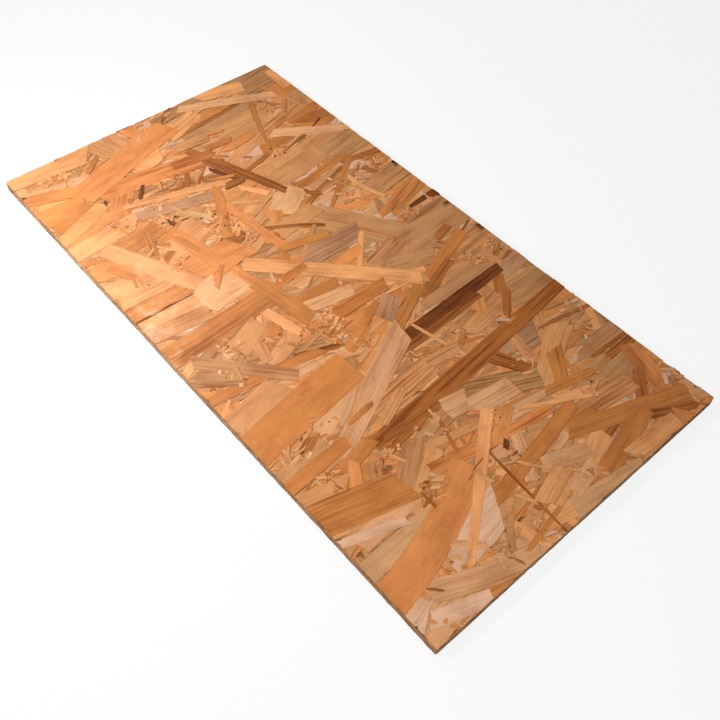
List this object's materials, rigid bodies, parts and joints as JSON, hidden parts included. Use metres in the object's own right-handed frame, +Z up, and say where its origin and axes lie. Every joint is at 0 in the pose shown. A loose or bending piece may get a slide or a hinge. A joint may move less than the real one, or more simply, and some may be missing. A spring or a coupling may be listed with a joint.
{
  "type": "osb board",
  "caption": "Flat rectangular offcut of oriented strand board, sawn square on all four sides, for sheathing, backing or decking.",
  "frame": {"origin": "middle of the underside of the board", "axes": "+X along the length, +Y across the width, +Z up through the thickness"},
  "size_m": [0.57, 0.3, 0.009],
  "materials": {
    "strand_wood": "satin pressed wood strands bonded with resin"
  },
  "bodies": {
    "root": {"osb_board": "strand_wood"}
  },
  "joints": []
}
